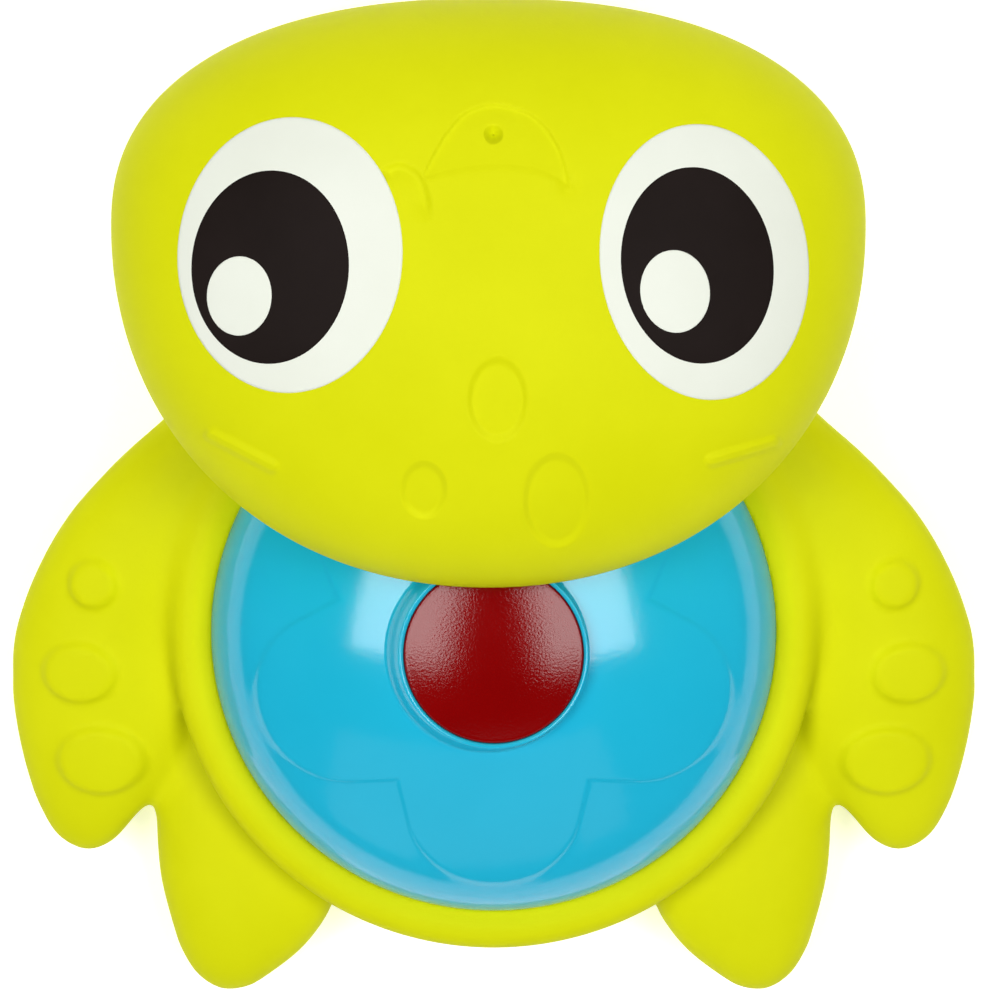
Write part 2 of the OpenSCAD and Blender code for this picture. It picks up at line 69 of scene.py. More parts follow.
TUB_R, TUB_NECK, TUB_MID, TUB_UP, TUB_DOWN = 37.55, 0.5, 9.75, 8.0, 12.38
NECK_Y, NECK_R = -45.0, 11.0
HEAD_C = np.array([0.0, -50.9, 37.0])
HEAD_W, HEAD_FRONT, HEAD_BACK, HEAD_UP, HEAD_DOWN = 44.2, 26.5, 42.5, 21.0, 26.0
TILT = math.radians(7)
NEST_GAP = 0.4
FRONT_W, FRONT_LEN, FRONT_T, FRONT_AT, FRONT_DIP = 24, 54, 10.6, (46, 2, 11.5), 4
REAR_W, REAR_LEN, REAR_T, REAR_AT, REAR_DIP = 22, 34, 9.6, (31, 33, 9.0), 5
FLIPPER_DROOP = 7

# Sizes chosen for the looks
PETALS, PETAL_TIP_R, PETAL_REACH, PETAL_SPREAD, PETAL_RISE = 5, 10.2, 18.6, math.radians(12), 0.21
FIELD_MARGIN, STEP_WIDEN = 0.7, 1.9
PETAL_STEP = ((-0.2, 1.0), (-0.08, 0.96), (0.04, 0.84), (0.14, 0.66),
              (0.24, 0.42), (0.36, 0.18), (0.5, 0.04), (0.62, 0.0))
COLLAR_MID_R, COLLAR_SHIFT, COLLAR_ROUND, COLLAR_LAND = 11.95, 0.8, 0.4, 0.5
HEAD_SHIFT = 0.6
HEAD_FRONT_ROUND, HEAD_BACK_ROUND, HEAD_CROWN_ROUND = 2.3, 2.1, 2.2
TUB_PLAN_ROUND, TUB_ROUND, FLIPPER_ROUND = 2.1, 2.2, 2.3
NAPE_SOFT, CHIN_SOFT, PLUG_DEPTH, PLUG_LAP = 1.3, 0.6, 4.6, 2
FLIPPER_SOFT, FLIPPER_UP_SHARE, FLIPPER_DOWN_SHARE = 2.6, 0.52, 0.48
PAD_RISE, PAD_SOFT = 0.8, 0.55
RIM_LIP_R, RIM_LIP_HALF_W, RIM_LIP_Z, RIM_LIP_HALF_H, RIM_LIP_ROUND = 34.6, 1.0, 17.2, 1.6, 0.8
TUB_MOUTH_R, VINYL_LAP = 31.5, 0.35
GROOVE_R, GROOVE_TOP, NECK_GAP = 36.25, 16.35, 0.15
BUTTON_EDGE = 0.3
BELLOWS_FOOT_R, BELLOWS_IN_R, BELLOWS_WALL, BELLOWS_END = 5.7, 7.5, 0.7, 1
BELLOWS_FOLD, BELLOWS_FOLDS = 1.9, 4
PRINT_ROOT, PRINT_EDGE_SHARE = 0.25, 0.35
BELLY_SOFT, CHEST_SOFT, WALL_SOFT, LIP_JOIN, RIM_JOIN, NEST_SOFT = 0.8, 1.0, 1.5, 0.8, 0.5, 0.6
FIELD_START, COLLAR_EASE = 0.2, 0.12
SHOULDER_TURN, CROWN_START, BUTTON_EDGE_TURN, BUTTON_CROWN_END_SHARE = 60, 1, 80, 1.02
BELLOWS_FULLNESS, WHITE_LIFT, PUPIL_LIFT, GLINT_LIFT = 0.8, 0.06, 0.10, 0.14
GRAIN_HEIGHT, GRAIN_DETAIL, BLOTCH_DETAIL, BLOTCH_LOW, BLOTCH_HIGH = 0.0002, 2, 4, 0.3, 0.7

# How finely the meshes are made
BODY_STEP, BODY_LOW, BODY_HIGH = 0.55, (-60.3, -66.3, -1.2), (60.3, 54.3, 21.3)
NET_PULLS, NET_LEAST_SLOPE, NET_PULL_SHARE, NET_REACH_SHARE = 4, 0.05, 0.3, 0.7
HEAD_SPLITS, FINE_NEAR, VENT_WALL_R = 7, (1.6, 1.0), 0.9
RAY_FROM, RAY_TO, RAY_HALVINGS = 2.0, 70.0, 30
PRINT_TO, PRINT_HALVINGS, PRINT_RINGS, PRINT_EDGE_RING_SHARE = 40.0, 34, 26, 0.985
DOME_SIDES, BUTTON_SIDES, BELLOWS_SIDES, PRINT_SIDES = 480, 160, 96, 112
SHOULDER_RINGS, CROWN_RINGS, ROUND_EDGE_RINGS, COLLAR_RINGS, FIELD_RINGS = 16, 14, 9, 12, 26
RIM_RINGS, RIM_RINGS_START, RIM_RINGS_CROWDING = 44, 0.36, 0.62
BUTTON_FIRST_RING_R, BUTTON_RINGS, BELLOWS_RINGS = 0.4, 34, 97
OUTLINE_ANGLES, OUTLINE_STEPS, OUTLINE_SMOOTHINGS, PATH_STEPS = 720, 24, 6, 8


# Signed distances
def smooth_min(a, b, k):
    """Union of two distances with a blend about k wide."""
    h = np.clip(0.5 + 0.5 * (b - a) / k, 0, 1)
    return b + (a - b) * h - k * h * (1 - h)


def smooth_max(a, b, k):
    """Overlap of two distances with the same blend."""
    return -smooth_min(-a, -b, k)


def step_in(d, soft):
    """1 inside, 0 outside, with a soft edge of that half width."""
    t = np.clip(0.5 - d / (2 * soft), 0, 1)
    return t * t * (3 - 2 * t)


def oval_plan(x, y, ax, ay, e):
    """Gauge of a superellipse and its slope."""
    u, v = np.abs(x) / ax, np.abs(y) / ay
    g = np.maximum(u ** e + v ** e, 1e-12) ** (1 / e)
    gx = (u / g) ** (e - 1) / ax
    gy = (v / g) ** (e - 1) / ay
    return g, np.hypot(gx, gy)


def split_plan(x, y, half_w, front, back):
    """Gauge and slope of an outline whose front and back halves each have a reach and a roundness."""
    g1, s1 = oval_plan(x, y, half_w, *front)
    g2, s2 = oval_plan(x, y, half_w, *back)
    return np.where(y < 0, g1, g2), np.where(y < 0, s1, s2)


def oval_distance(a, b, x, y, half_x, half_y):
    """About how far a place lies outside an oval with that middle and those half sizes."""
    return (np.hypot((a - x) / half_x, (b - y) / half_y) - 1) * min(half_x, half_y)


def crossing(is_inside, near, away, halvings):
    """Narrows the spans between near, inside a form, and away, outside it, by halving them."""
    for _ in range(halvings):
        mid = 0.5 * (near + away)
        inner = is_inside(mid)
        near, away = np.where(inner, mid, near), np.where(inner, away, mid)
    return near, away


def cushion(g, slope, t, up, down, m):
    """Distance to a form whose outline has gauge g, and which shrinks towards its crown and keel."""
    high = np.where(t > 0, up, down)
    q = np.abs(t) / high
    total = np.maximum(g ** m + q ** m, 1e-9) ** (1 / m)
    side = (g / total) ** (m - 1) * slope
    rise = (q / total) ** (m - 1) / high
    return (total - 1) / np.maximum(np.hypot(side, rise), 1e-4)


def arch_distance(r, z, grow):
    """Distance to the dome's outline, grown by a gap."""
    top = DOME_TOP - CROWN_R
    slant = (DOME_R - SHOULDER_R) / (CROWN_R - DOME_H)
    dz = z - top
    crown = np.hypot(r, dz) - CROWN_R - grow
    shoulder = np.hypot(r - (DOME_R - SHOULDER_R), z - RIM_Z) - SHOULDER_R - grow
    wall = r - DOME_R - grow
    return np.where((dz > 0) & (r < slant * dz), crown, np.where(z > RIM_Z, shoulder, wall))


def nest_distance(p, gap):
    """Distance to what the head nests over: the dome, the rim bead and the collar with its button."""
    r, z = np.hypot(p[:, 0], p[:, 1]), p[:, 2]
    d = arch_distance(r, z, gap + PETAL_RISE)
    bead = np.hypot(r - BEAD_MID, z - RIM_Z) - BEAD_R - gap
    below = np.maximum(r - BEAD_MID - BEAD_R - gap, z - RIM_Z)
    collar = np.maximum(r - COLLAR_FOOT_R - gap, z - BUTTON_TOP - gap)
    return np.minimum(smooth_min(d, np.minimum(bead, below), NEST_SOFT), collar)


def to_head(p):
    """A point in the head's own tilted frame: across, from snout to nape, and up."""
    q = p - HEAD_C
    c, s = math.cos(TILT), math.sin(TILT)
    return q[:, 0], q[:, 1] * c + q[:, 2] * s, q[:, 2] * c - q[:, 1] * s


def from_head(a, b, w):
    """The way back from the head's frame."""
    c, s = math.cos(TILT), math.sin(TILT)
    return np.stack([a, b * c - w * s, b * s + w * c], -1) + HEAD_C


def head_skin(a, b, w):
    """Distance to the plain skin of the head, without marks or the nest."""
    front, back = (HEAD_FRONT, HEAD_FRONT_ROUND), (HEAD_BACK, HEAD_BACK_ROUND)
    g, slope = split_plan(a - HEAD_SHIFT, b, HEAD_W, front, back)
    return cushion(g, slope, w, HEAD_UP, HEAD_DOWN, HEAD_CROWN_ROUND)


def path_distance(a, b, points):
    """Distance in the plan to a path of straight pieces."""
    d = np.full(a.shape, 1e9)
    for (x0, y0), (x1, y1) in zip(points[:-1], points[1:]):
        vx, vy = x1 - x0, y1 - y0
        t = np.clip(((a - x0) * vx + (b - y0) * vy) / (vx * vx + vy * vy), 0, 1)
        d = np.minimum(d, np.hypot(a - x0 - t * vx, b - y0 - t * vy))
    return d


# Marks on the face, in the head's own plan: across, then from snout to nape
LIP_POINTS = [(8.5, -4.6), (8.1, -5.7), (7.0, -7.9), (5.4, -10.5), (3.3, -12.7), (0.1, -13.7), (-3.6, -12.9),
              (-5.9, -11.2), (-7.6, -8.7), (-8.5, -5.9), (-8.7, -3.9)]
CHIN_POINTS = [(8.5, -4.6), (6.0, -5.3), (2.5, -6.0), (-1.2, -6.2), (-5.3, -5.6), (-8.7, -3.9)]
CHEEK_POINTS = [(12.8, -5.7), (10.9, -6.4), (9.2, -5.8), (8.3, -4.8), (7.7, -3.1), (7.3, -0.5)]
CHEEK_MID = (12.2, -1.2)
LEFT_EYE_AT, LEFT_EYE_HALF = (23.5, 3.8), (13.06, 15.9)
VENT = (0.0, -10.1)
SPOTS = [(-0.47, 20.5, 3.2, 4.5), (8.03, 30.9, 2.4, 3.0), (-7.29, 32.1, 3.6, 5.1)]
BROWS = [[(32.9, 24.6), (25.7, 28.3)], [(-25.3, 27.6), (-32.7, 25.5)]]
MOUTH_HALF, LIP_DEPTH, LIP_SOFT, LIP_INSET, LIP_FADE = 8.7, 0.6, 0.35, 0.1, 0.74
LIP_RIDGE, LIP_RIDGE_W = 0.2, 0.45
CREASE_SOFT, CREASE_LAP, LEAST_MOUTH = 0.5, 0.5, 0.3
CORNER_AT, CORNER_DEPTH = (-8.4, -4.3), 0.4
CHEEK_DEPTH, CHEEK_SOFT, CHEEK_FADE, CHEEK_END, CHEEK_STOP, CHEEK_STOP_SOFT = 0.72, 0.7, 1.8, 0.6, -1.0, 1.5
EYE_CLEAR, EYE_CLEAR_SOFT = 0.3, 0.6
VENT_DEPTH, VENT_R, VENT_SOFT = 1.8, 0.78, 0.92
HOLE_DEPTH, HOLE_R, HOLE_SOFT = 0.5, 0.16, 0.12
SPOT_DEPTH, SPOT_SOFT = 0.42, 0.45
BROW_RISE, BROW_HALF, BROW_SOFT = 0.4, 0.65, 0.4


def curve_point(p0, p1, p2, p3, t):
    """A place on the smooth curve from p1 to p2, with p0 before them and p3 after them."""
    return 0.5 * (2 * p1 + (p2 - p0) * t + (2 * p0 - 5 * p1 + 4 * p2 - p3) * t ** 2
                  + (3 * p1 - p0 - 3 * p2 + p3) * t ** 3)


def rounded(points):
    """A smooth open path through a few points."""
    q = np.array([points[0], *points, points[-1]], float)
    path = []
    for four in zip(q, q[1:], q[2:], q[3:]):
        path += [tuple(curve_point(*four, t)) for t in np.linspace(0, 1, PATH_STEPS, endpoint=False)]
    return path + [tuple(points[-1])]


SMILE, CHIN, CHEEK = rounded(LIP_POINTS), rounded(CHIN_POINTS), rounded(CHEEK_POINTS)


def height_at(a, path):
    """Where a path that runs across the face lies, at a place across."""
    q = np.array(path)
    order = np.argsort(q[:, 0])
    return np.interp(a, q[order, 0], q[order, 1])


def cheek_fold(a, b):
    """A step along the cheek line, low on its hollow side, that fades out behind it."""
    x, y = (np.array(CHEEK) - CHEEK_MID).T
    turn = np.unwrap(np.arctan2(y, x))
    here = np.arctan2(b - CHEEK_MID[1], a - CHEEK_MID[0])
    here = np.where(here > 0, here - 2 * math.pi, here)
    line = np.interp(here, turn[::-1], np.hypot(x, y)[::-1])
    behind = line - np.hypot(a - CHEEK_MID[0], b - CHEEK_MID[1])
    past_end = np.maximum(path_distance(a, b, CHEEK) - np.abs(behind), 0)
    return (step_in(-behind, CHEEK_SOFT) * step_in(b - CHEEK_STOP, CHEEK_STOP_SOFT)
            * np.exp(-np.maximum(behind, 0) / CHEEK_FADE - (past_end / CHEEK_END) ** 2))


def face_marks(a, b):
    """How far the skin is pushed in at a place of the face."""
    lip, chin = height_at(a, SMILE), height_at(a, CHIN)
    along = path_distance(a, b, SMILE)
    within = (b > lip) & (np.abs(a) < MOUTH_HALF)
    edge = step_in(np.where(within, -along, along) + LIP_INSET, LIP_SOFT)
    fade = np.clip((b - lip) / np.maximum(chin - lip, LEAST_MOUTH), 0, 1)
    hollow = np.where(b < chin + CREASE_LAP, LIP_DEPTH * edge * (1 - LIP_FADE * fade), 0)
    push = hollow * step_in(b - chin, CREASE_SOFT)
    push = push - LIP_RIDGE * np.exp(-(along / LIP_RIDGE_W) ** 2)
    push = push + CORNER_DEPTH * np.exp(-((a - CORNER_AT[0]) ** 2 + (b - CORNER_AT[1]) ** 2))
    eye = oval_distance(a, b, *LEFT_EYE_AT, *LEFT_EYE_HALF)
    clear = 1 - step_in(eye - EYE_CLEAR, EYE_CLEAR_SOFT)
    push = np.maximum(push, CHEEK_DEPTH * cheek_fold(a, b) * clear)
    vent = np.hypot(a - VENT[0], b - VENT[1])
    push = np.maximum(push, VENT_DEPTH * step_in(vent - VENT_R, VENT_SOFT))
    push = push + HOLE_DEPTH * step_in(vent - HOLE_R, HOLE_SOFT)
    for spot in SPOTS:
        push = np.maximum(push, SPOT_DEPTH * step_in(oval_distance(a, b, *spot), SPOT_SOFT))
    for line in BROWS:
        push = push - BROW_RISE * step_in(path_distance(a, b, line) - BROW_HALF, BROW_SOFT)
    return push


def head_distance(p):
    """Distance to the head with its marks, cut to nest over the shell, and its neck plug."""
    a, b, w = to_head(p)
    d = head_skin(a, b, w)
    d = np.where(w > 0, d + face_marks(a, b), d)
    d = smooth_max(d, -nest_distance(p, NEST_GAP), NAPE_SOFT)
    d = smooth_max(d, CHEST_H - p[:, 2], CHIN_SOFT)
    plug = np.maximum(np.hypot(p[:, 0], p[:, 1] - NECK_Y) - NECK_R, CHEST_H - PLUG_DEPTH - p[:, 2])
    return np.minimum(d, np.maximum(plug, p[:, 2] - CHEST_H - PLUG_LAP))


# Flipper outlines as shares of width and length, as in the part's source
FRONT = np.array([
    [0.508, 0.081], [0.508, 0.138], [0.483, 0.222], [0.44, 0.308], [0.383, 0.383], [0.29, 0.452],
    [0.152, 0.483], [0.021, 0.463], [-0.092, 0.409], [-0.205, 0.348], [-0.313, 0.278], [-0.417, 0.148],
    [-0.479, 0], [-0.542, -0.148], [-0.625, -0.296], [-0.7, -0.43], [-0.72, -0.53], [-0.62, -0.595],
    [-0.42, -0.558], [-0.265, -0.497], [-0.08, -0.424], [0.077, -0.352], [0.206, -0.284], [0.317, -0.206],
    [0.41, -0.121], [0.478, -0.035], [0.503, 0.025]]) * [FRONT_W, FRONT_LEN]
REAR = np.array([
    [0.44, -0.138], [0.427, -0.046], [0.4, 0.041], [0.364, 0.132], [0.318, 0.223], [0.23, 0.314],
    [0.105, 0.365], [-0.034, 0.359], [-0.155, 0.315], [-0.333, 0.223], [-0.45, 0.132], [-0.52, 0.046],
    [-0.545, -0.059], [-0.45, -0.26], [-0.25, -0.43], [-0.02, -0.566], [0.2, -0.635], [0.335, -0.581],
    [0.4, -0.474], [0.445, -0.352], [0.445, -0.245]]) * [REAR_W, REAR_LEN]
PAD_SHARES = [(0.06, -0.145, 0.12, 0.052), (0.136, 0.057, 0.185, 0.066), (0.036, 0.26, 0.22, 0.076)]
PADS = [(x * FRONT_W, y * FRONT_LEN, hx * FRONT_W, hy * FRONT_LEN) for x, y, hx, hy in PAD_SHARES]


def outline_table(points):
    """Radius of a rounded closed outline, and how it changes, at even angles."""
    count = len(points)
    path = []
    for i in range(count):
        four = [points[(i + k - 1) % count] for k in range(4)]
        path += [curve_point(*four, t) for t in np.linspace(0, 1, OUTLINE_STEPS, endpoint=False)]
    path = np.array(path)
    turn = np.arctan2(path[:, 1], path[:, 0])
    order = np.argsort(turn)
    turn, size = turn[order], np.hypot(path[:, 0], path[:, 1])[order]
    even = np.linspace(-math.pi, math.pi, OUTLINE_ANGLES, endpoint=False)
    radius = np.interp(even, turn, size, period=2 * math.pi)
    for _ in range(OUTLINE_SMOOTHINGS):
        radius = (np.roll(radius, 1) + 2 * radius + np.roll(radius, -1)) / 4
    slope = (np.roll(radius, -1) - np.roll(radius, 1)) / (2 * (even[1] - even[0]))
    return even, radius, slope


def turn_matrix(dip, droop):
    """A flipper's own axes, from its dip towards the tail and its droop outwards, in degrees."""
    x, y = math.radians(-dip), math.radians(droop)
    rx = np.array([[1, 0, 0], [0, math.cos(x), -math.sin(x)], [0, math.sin(x), math.cos(x)]])
    ry = np.array([[math.cos(y), 0, math.sin(y)], [0, 1, 0], [-math.sin(y), 0, math.cos(y)]])
    return ry @ rx


FLIPPERS = [
    (np.array(FRONT_AT), turn_matrix(FRONT_DIP, FLIPPER_DROOP), outline_table(FRONT), FRONT_T, PADS),
    (np.array(REAR_AT), turn_matrix(REAR_DIP, FLIPPER_DROOP), outline_table(REAR), REAR_T, []),
]


def flipper_distance(p, flipper):
    """Distance to the flipper on the +X side, with its pads."""
    centre, turn, (even, radius, slope), thick, pads = flipper
    q = (p - centre) @ turn
    reach = np.maximum(np.hypot(q[:, 0], q[:, 1]), 1e-6)
    angle = np.arctan2(q[:, 1], q[:, 0])
    rho = np.interp(angle, even, radius, period=2 * math.pi)
    dip = np.interp(angle, even, slope, period=2 * math.pi)
    g = reach / rho
    up, down = FLIPPER_UP_SHARE * thick, FLIPPER_DOWN_SHARE * thick
    d = cushion(g, np.hypot(1 / rho, dip / rho ** 2), q[:, 2], up, down, FLIPPER_ROUND)
    for pad in pads:
        away = oval_distance(q[:, 0], q[:, 1], *pad)
        d = d - np.where(q[:, 2] > 0, PAD_RISE * step_in(away, PAD_SOFT), 0)
    return d


def body_distance(p):
    """Distance to the vinyl tub with its rim, flippers, hollow, flange groove and neck."""
    x, y, z = p[:, 0], p[:, 1], p[:, 2]
    r = np.hypot(x, y)
    g, slope = split_plan(x, y, TUB_R, (CHEST_REACH, TUB_PLAN_ROUND), (TUB_R, TUB_PLAN_ROUND))
    tub = cushion(g, slope, z - TUB_MID, TUB_UP, TUB_DOWN, TUB_ROUND)
    inside = tub + VINYL
    tub = smooth_max(tub, -z, BELLY_SOFT)
    tub = smooth_max(tub, z - CHEST_H, CHEST_SOFT)
    wall = np.maximum(r - TUB_R + TUB_NECK, np.maximum(TUB_MID - z, z - RIM_Z))
    bead = np.hypot(r - BEAD_MID, z - RIM_Z) - BEAD_R
    lip_r = np.abs(r - RIM_LIP_R) - RIM_LIP_HALF_W
    lip_z = np.abs(z - RIM_LIP_Z) - RIM_LIP_HALF_H
    lip = np.hypot(np.maximum(lip_r, 0), np.maximum(lip_z, 0)) + np.minimum(np.maximum(lip_r, lip_z), 0)
    lip = lip - RIM_LIP_ROUND
    d = smooth_min(smooth_min(tub, wall, WALL_SOFT), smooth_min(bead, lip, LIP_JOIN), RIM_JOIN)
    mirrored = np.stack([np.abs(x), y, z], -1)
    for flipper in FLIPPERS:
        d = smooth_min(d, flipper_distance(mirrored, flipper), FLIPPER_SOFT)
    d = np.maximum(d, -z)
    inside = np.maximum(inside, np.maximum(VINYL - z, z - CHEST_H + VINYL))
    seat = np.maximum(arch_distance(r, z, -VINYL_LAP), SEAT_Z - z)
    mouth = np.minimum(np.maximum(r - TUB_MOUTH_R, 2 * VINYL - z), seat)
    groove = np.maximum(r - GROOVE_R, np.maximum(SEAT_Z - z, z - GROOVE_TOP))
    neck = np.maximum(np.hypot(x, y - NECK_Y) - NECK_R - NECK_GAP, 2 * VINYL - z)
    return np.maximum(d, -np.minimum(np.minimum(inside, mouth), np.minimum(groove, neck)))


# Meshes
def make(name, points, faces, body, stands_for, material):
    """A smooth piece that rides on a body and stands for nodes of the part."""
    mesh = bpy.data.meshes.new(name)
    mesh.from_pydata((np.asarray(points) * MM).tolist(), [], faces)
    mesh.validate()
    bm = bmesh.new()
    bm.from_mesh(mesh)
    bmesh.ops.recalc_face_normals(bm, faces=bm.faces)
    bm.to_mesh(mesh)
    bm.free()
    mesh.polygons.foreach_set("use_smooth", [True] * len(mesh.polygons))
    obj = bpy.data.objects.new(name, mesh)
    bpy.context.scene.collection.objects.link(obj)
    mesh.materials.append(material)
    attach(obj, body)
    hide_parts(*stands_for)
    return obj


def slope_of(f, p, h=0.02):
    """Slope of a distance, from steps of h to both sides."""
    g = np.empty_like(p)
    for k in range(3):
        e = np.zeros(3)
        e[k] = h
        g[:, k] = (f(p + e) - f(p - e)) / (2 * h)
    return g


def surface_net(f, low, high, step):
    """Closed quad mesh of f = 0 on an even grid, drawn onto the surface."""
    low, high = np.array(low, float), np.array(high, float)
    count = np.ceil((high - low) / step).astype(int) + 1
    axes = [low[k] + step * np.arange(count[k]) for k in range(3)]
    values = np.empty(count)
    for i, x in enumerate(axes[0]):
        yy, zz = np.meshgrid(axes[1], axes[2], indexing="ij")
        p = np.stack([np.full(yy.size, x), yy.ravel(), zz.ravel()], -1)
        values[i] = f(p).reshape(yy.shape)
    inside = values < 0
    corners = [(i, j, k) for i in (0, 1) for j in (0, 1) for k in (0, 1)]
    cells = count - 1
    total = np.zeros(cells, int)
    for i, j, k in corners:
        total += inside[i:i + cells[0], j:j + cells[1], k:k + cells[2]]
    mixed = (total > 0) & (total < 8)
    index = -np.ones(cells, int)
    index[mixed] = np.arange(mixed.sum())
    place = np.argwhere(mixed)
    position, hits = np.zeros((len(place), 3)), np.zeros(len(place))
    for c0 in corners:
        for axis in range(3):
            if c0[axis]:
                continue
            c1 = list(c0)
            c1[axis] = 1
            q0, q1 = place + c0, place + c1
            v0, v1 = values[tuple(q0.T)], values[tuple(q1.T)]
            cross = (v0 < 0) != (v1 < 0)
            t = np.where(cross, v0 / np.where(cross, v0 - v1, 1), 0)
            at = np.array(c0) + t[:, None] * np.eye(3)[axis]
            position += np.where(cross[:, None], at, 0)
            hits += cross
    points = low + step * (place + position / hits[:, None])
    faces = []
    for axis in range(3):
        a, b = (axis + 1) % 3, (axis + 2) % 3
        lower = np.moveaxis(inside, axis, 0)[:-1]
        upper = np.moveaxis(inside, axis, 0)[1:]
        edge = np.moveaxis(lower != upper, 0, axis)
        where = np.argwhere(edge)
        ok = (where[:, a] > 0) & (where[:, b] > 0) & (where[:, a] < cells[a]) & (where[:, b] < cells[b])
        where = where[ok]
        quad = []
        for da, db in ((1, 1), (0, 1), (0, 0), (1, 0)):
            q = where.copy()
            q[:, a] -= da
            q[:, b] -= db
            quad.append(index[tuple(q.T)])
        faces.append(np.stack(quad, -1))
    faces = np.concatenate(faces)
    start = points.copy()
    pull, reach = NET_PULL_SHARE * step, NET_REACH_SHARE * step
    for _ in range(NET_PULLS):
        d, g = f(points), slope_of(f, points)
        move = d[:, None] * g / np.maximum((g * g).sum(1), NET_LEAST_SLOPE)[:, None]
        points = points - np.clip(move, -pull, pull)
    points = start + np.clip(points - start, -reach, reach)
    return points, faces.tolist()


def head_mesh():
    """A ball drawn out to the head's skin along rays from its middle, finer at the marks and the nape."""
    bm = bmesh.new()
    bmesh.ops.create_icosphere(bm, subdivisions=HEAD_SPLITS, radius=1)

    def radii(rays):
        near, away = crossing(lambda reach: head_distance(HEAD_C + rays * reach[:, None]) < 0,
                              np.full(len(rays), RAY_FROM), np.full(len(rays), RAY_TO), RAY_HALVINGS)
        return 0.5 * (near + away)

    def rays_now():
        rays = np.array([v.co for v in bm.verts])
        return rays / np.linalg.norm(rays, axis=1)[:, None]

    for near in FINE_NEAR:
        rays = rays_now()
        p = HEAD_C + rays * radii(rays)[:, None]
        a, b, w = to_head(p)
        d = np.minimum(path_distance(a, b, SMILE), path_distance(a, b, CHEEK))
        d = np.minimum(d, path_distance(a, b, CHIN))
        d = np.minimum(d, np.abs(np.hypot(a - VENT[0], b - VENT[1]) - VENT_WALL_R))
        for spot in SPOTS:
            d = np.minimum(d, np.abs(oval_distance(a, b, *spot)))
        for line in BROWS:
            d = np.minimum(d, path_distance(a, b, line))
        crease = np.abs(head_skin(a, b, w)) + np.abs(nest_distance(p, NEST_GAP))
        fine = ((d < near) & (w > 0)) | (crease < near)
        bm.verts.ensure_lookup_table()
        bm.verts.index_update()
        edges = [e for e in bm.edges if fine[e.verts[0].index] or fine[e.verts[1].index]]
        bmesh.ops.subdivide_edges(bm, edges=edges, cuts=1, use_grid_fill=True)
        bmesh.ops.triangulate(bm, faces=[f for f in bm.faces if len(f.verts) > 4])
    bm.verts.index_update()
    rays = rays_now()
    points = HEAD_C + rays * radii(rays)[:, None]
    faces = [[v.index for v in f.verts] for f in bm.faces]
    bm.free()
    return points, faces


def lathe(rings, n, closed):
    """Revolves rings, each a (radius, height) or a function of the angle that gives them.

    A ring of radius 0 is a pole, and closed joins the last ring to the first.
    """
    angle = 2 * math.pi * np.arange(n) / n
    points, starts = [], []
    for ring in rings:
        r, z = ring(angle) if callable(ring) else ring
        starts.append(sum(len(q) for q in points))
        if not callable(ring) and r == 0:
            points.append(np.array([[0, 0, z]]))
            continue
        r, z = np.broadcast_to(r, angle.shape), np.broadcast_to(z, angle.shape)
        points.append(np.stack([r * np.cos(angle), r * np.sin(angle), z], -1))
    faces = []
    pairs = list(zip(range(len(rings)), range(1, len(rings))))
    if closed:
        pairs.append((len(rings) - 1, 0))
    for i, j in pairs:
        a, b = starts[i], starts[j]
        for k in range(n):
            m = (k + 1) % n
            if len(points[i]) == 1:
                faces.append([a, b + k, b + m])
            elif len(points[j]) == 1:
                faces.append([a + m, a + k, b])
            else:
                faces.append([a + k, a + m, b + m, b + k])
    return np.concatenate(points), faces


def corner(c, radius, start, stop, n):
    """Points of a round corner in the plane of radius and height, angles in degrees."""
    turns = np.radians(np.linspace(start, stop, n))
    return [(c[0] + radius * math.cos(t), c[1] + radius * math.sin(t)) for t in turns]


def dome_height(r):
    """Height of the dome's skin at a radius."""
    foot = (DOME_R - SHOULDER_R) * CROWN_R / (CROWN_R - SHOULDER_R)
    crown = DOME_TOP - CROWN_R + np.sqrt(np.maximum(CROWN_R ** 2 - r ** 2, 0))
    shoulder = RIM_Z + np.sqrt(np.maximum(SHOULDER_R ** 2 - (r - DOME_R + SHOULDER_R) ** 2, 0))
    return np.where(r < foot, crown, shoulder)


def flower_reach(angle):
    """Radius of the petal field's outline: round tips, straight sides, the first petal at the tail."""
    each = 2 * math.pi / PETALS
    off = np.mod(angle - math.pi / 2 + each / 2, each) - each / 2
    away = PETAL_REACH * np.sin(off)
    tip = PETAL_REACH * np.cos(off) + np.sqrt(np.maximum(PETAL_TIP_R ** 2 - away ** 2, 0))
    side = (PETAL_TIP_R + PETAL_REACH * math.sin(PETAL_SPREAD)) / np.sin(np.abs(off) + PETAL_SPREAD)
    turn = math.atan2(PETAL_TIP_R * math.cos(PETAL_SPREAD),
                      PETAL_REACH + PETAL_TIP_R * math.sin(PETAL_SPREAD))
    return np.where(np.abs(off) < turn, tip, side)


def collar_foot(angle):
    """Radius of the collar's foot, which sits a little to one side."""
    return COLLAR_MID_R + COLLAR_SHIFT * np.cos(angle)


